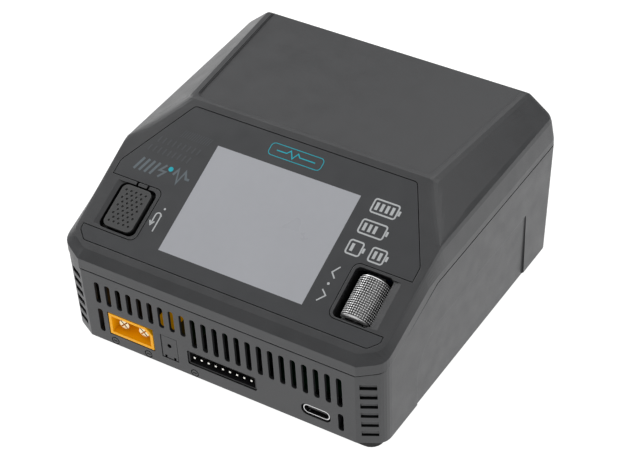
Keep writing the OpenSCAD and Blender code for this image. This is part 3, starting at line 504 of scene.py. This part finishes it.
def battery_sign(x, s, bars, width=8.0, height=4.4):
    """Lying battery outline with level bars."""
    quads = stroke(rounded_box(x, s, x + width, s + height, 0.7), 0.5, closed=True)
    quads += stroke([(x + width + 0.7, s + 1.4), (x + width + 0.7, s + height - 1.4)], 0.7)
    for i in range(bars):
        bar_x = x + 1.4 + i * 1.7
        quads += stroke([(bar_x, s + 0.95), (bar_x, s + height - 0.95)], 0.95)
    return quads


ratings = battery_sign(29.4, 43.9, 4) + battery_sign(29.0, 36.8, 3)
ratings += battery_sign(28.6, 29.7, 1, 4.4) + battery_sign(36.0, 29.7, 2, 4.6)
print_piece("print_levels", ratings, pale_mat)

# Large dim mark at the left of the display: slanted bars, a bolt and a zigzag with a lit spot
MARK_S0 = 31.8
MARK_S1 = 36.2
mark = []
for i in range(4):
    bar_x = -46.2 + i * 1.9
    mark += stroke([(bar_x, MARK_S0), (bar_x + 1.6, MARK_S1)], 0.85)
mark += stroke([(-36.4, MARK_S1), (-38.0, 34.0), (-35.9, 34.0), (-37.6, MARK_S0)], 0.7)
mark += stroke([(-33.2, 34.0), (-32.2, MARK_S1), (-30.9, MARK_S0), (-29.7, MARK_S1), (-28.6, 34.0),
                (-27.4, 34.0)], 0.8)
print_piece("print_mark", mark, dim_mat)
print_piece("print_mark_dot", disc(-34.7, 35.4, 0.8), teal_mat)

# Faint rows of dashes and a hatch above it
DASHES = 9
DASH_PITCH = 1.75
HATCH_LINES = 13
HATCH_PITCH = 0.8
faint = []
for first_x, row_s in ((-45.2, 38.9), (-43.6, 42.3)):
    for i in range(DASHES):
        dash_x = first_x + i * DASH_PITCH
        faint += stroke([(dash_x, row_s), (dash_x + 0.5, row_s + 2.1)], 0.5)
for i in range(HATCH_LINES):
    hatch_x = -37.6 + i * HATCH_PITCH
    faint += stroke([(hatch_x, 46.2), (hatch_x + 0.9, 48.8)], 0.3)
print_piece("print_hatch", faint, faint_mat)


# ---------- stage, light and camera ----------

def stage_floor():
    bpy.ops.mesh.primitive_plane_add(size=4)
    floor = bpy.context.object
    floor.name = "floor"
    paper = finish_material(
        "floor_paper", (0.2, 0.2, 0.2), 0.9, grain=2, bump=0.02, mottle=0.01, edge=0)
    shader = paper.node_tree.nodes["Principled BSDF"]
    shader.inputs["Emission Color"].default_value = (1, 1, 1, 1)
    shader.inputs["Emission Strength"].default_value = 1.0
    floor.data.materials.append(paper)


def area_light(name, place, target, size, watts, colour=(1, 1, 1)):
    data = bpy.data.lights.new(name, "AREA")
    data.shape = "RECTANGLE"
    data.size, data.size_y = size
    data.energy = watts
    data.color = colour
    lamp = bpy.data.objects.new(name, data)
    lamp.location = place
    lamp.rotation_euler = (Vector(target) - Vector(place)).to_track_quat("-Z", "Y").to_euler()
    bpy.context.scene.collection.objects.link(lamp)


stage_floor()
MIDDLE = (0, 0, 0.03)
area_light("left_softbox", (-0.65, 0.2, 0.34), MIDDLE, (0.5, 0.5), 2.4)
area_light("right_softbox", (0.8, 0.15, 0.2), MIDDLE, (0.5, 0.3), 0.5)
area_light("top_softbox", (0.05, 0.45, 0.7), MIDDLE, (0.7, 0.5), 1.6)
world = bpy.data.worlds.new("studio")
bpy.context.scene.world = world
world.use_nodes = True
background = world.node_tree.nodes["Background"]
background.inputs["Strength"].default_value = 0.56

# The studio is dim at the horizon and bright overhead
sky_coord = world.node_tree.nodes.new("ShaderNodeTexCoord")
sky_split = world.node_tree.nodes.new("ShaderNodeSeparateXYZ")
sky_ramp = world.node_tree.nodes.new("ShaderNodeValToRGB")
sky_ramp.color_ramp.elements[0].position = 0.15
sky_ramp.color_ramp.elements[0].color = (0.06, 0.06, 0.06, 1)
sky_ramp.color_ramp.elements[1].position = 0.6
sky_ramp.color_ramp.elements[1].color = (1, 1, 1, 1)
world.node_tree.links.new(sky_coord.outputs["Generated"], sky_split.inputs["Vector"])
world.node_tree.links.new(sky_split.outputs["Z"], sky_ramp.inputs["Fac"])
world.node_tree.links.new(sky_ramp.outputs["Color"], background.inputs["Color"])

CAMERA_AT = Vector((273.306, -398.834, 430.425)) * MM
YAW = math.radians(34.614)
PITCH = math.radians(-40.132)
ROLL = math.radians(-3.973)
LENS = 120.79
SHIFT_X = 0.0055


def photo_camera():
    ahead = Vector((
        -math.sin(YAW) * math.cos(PITCH), math.cos(YAW) * math.cos(PITCH), math.sin(PITCH)))
    level = Vector((math.cos(YAW), math.sin(YAW), 0))
    rise = level.cross(ahead)
    right = level * math.cos(ROLL) + rise * math.sin(ROLL)
    up = -level * math.sin(ROLL) + rise * math.cos(ROLL)
    data = bpy.data.cameras.new("camera")
    data.lens = LENS
    data.shift_x = SHIFT_X
    data.clip_start = 0.01
    camera = bpy.data.objects.new("camera", data)
    turn = Matrix((right, up, -ahead)).transposed().to_4x4()
    camera.matrix_world = Matrix.Translation(CAMERA_AT) @ turn
    bpy.context.scene.collection.objects.link(camera)
    bpy.context.scene.camera = camera


photo_camera()
bpy.context.scene.view_settings.view_transform = "Standard"
